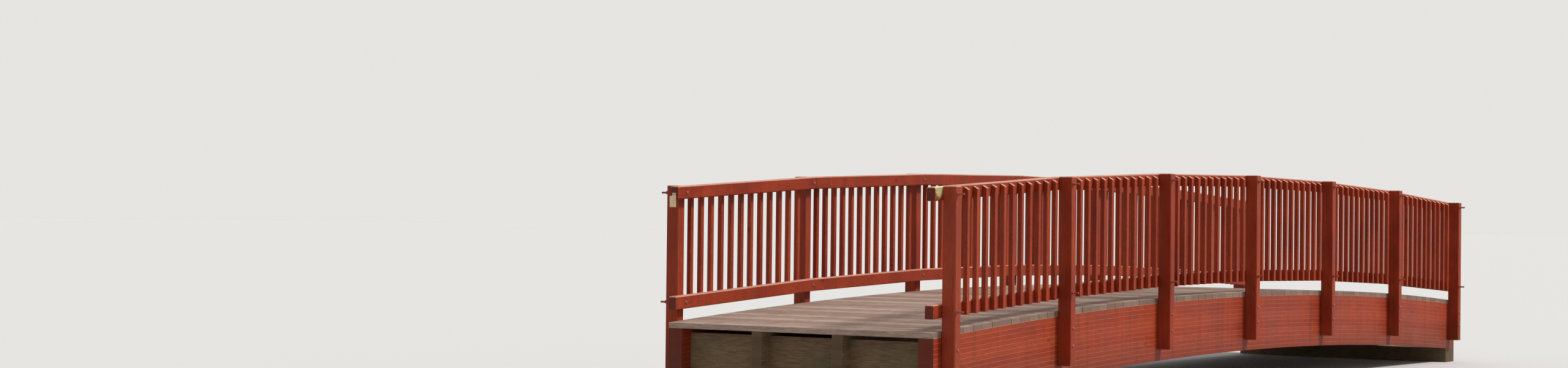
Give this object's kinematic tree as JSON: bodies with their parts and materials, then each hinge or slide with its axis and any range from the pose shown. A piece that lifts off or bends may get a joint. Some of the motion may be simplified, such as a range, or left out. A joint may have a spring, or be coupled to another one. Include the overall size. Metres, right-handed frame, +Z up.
{
  "type": "cambered timber footbridge",
  "caption": "Low-arched red timber footbridge: laminated side girders, plank deck, and post-and-baluster railings on both sides.",
  "frame": {"origin": "on the ground under the middle of the bridge", "axes": "+X along the bridge towards the far end, +Y towards the left railing, +Z up"},
  "size_m": [11.294, 2.674, 1.9407],
  "materials": {
    "red_timber": "weathered red stain on planed timber, faded pale on top faces",
    "deck_planks": "bare, weathered pinkish grey-brown",
    "bare_timber": "unpainted preserved timber",
    "painted_steel": "bolts, washers and nuts painted over with the timber, chipped to brown",
    "bolt_steel": "dull deck screws",
    "tag_coating": "blank cream tag"
  },
  "bodies": {
    "root": {"girder_left": "red_timber", "girder_right": "red_timber", "girder_inner_left": "bare_timber", "girder_inner_right": "bare_timber", "blocking": "bare_timber", "sill_near": "bare_timber", "sill_far": "bare_timber", "deck_bay_1": "deck_planks", "deck_bay_2": "deck_planks", "deck_bay_3": "deck_planks", "deck_bay_4": "deck_planks", "deck_bay_5": "deck_planks", "deck_bay_6": "deck_planks", "post_left_1": "red_timber", "post_left_2": "red_timber", "post_left_3": "red_timber", "post_left_4": "red_timber", "post_left_5": "red_timber", "post_left_6": "red_timber", "post_left_7": "red_timber", "post_right_1": "red_timber", "post_right_2": "red_timber", "post_right_3": "red_timber", "post_right_4": "red_timber", "post_right_5": "red_timber", "post_right_6": "red_timber", "post_right_7": "red_timber", "top_rail_left": "red_timber", "top_rail_right": "red_timber", "lower_rail_left": "red_timber", "lower_rail_right": "red_timber", "balusters_left_1": "red_timber", "balusters_left_2": "red_timber", "balusters_left_3": "red_timber", "balusters_left_4": "red_timber", "balusters_left_5": "red_timber", "balusters_left_6": "red_timber", "balusters_right_1": "red_timber", "balusters_right_2": "red_timber", "balusters_right_3": "red_timber", "balusters_right_4": "red_timber", "balusters_right_5": "red_timber", "balusters_right_6": "red_timber"}
  },
  "joints": []
}
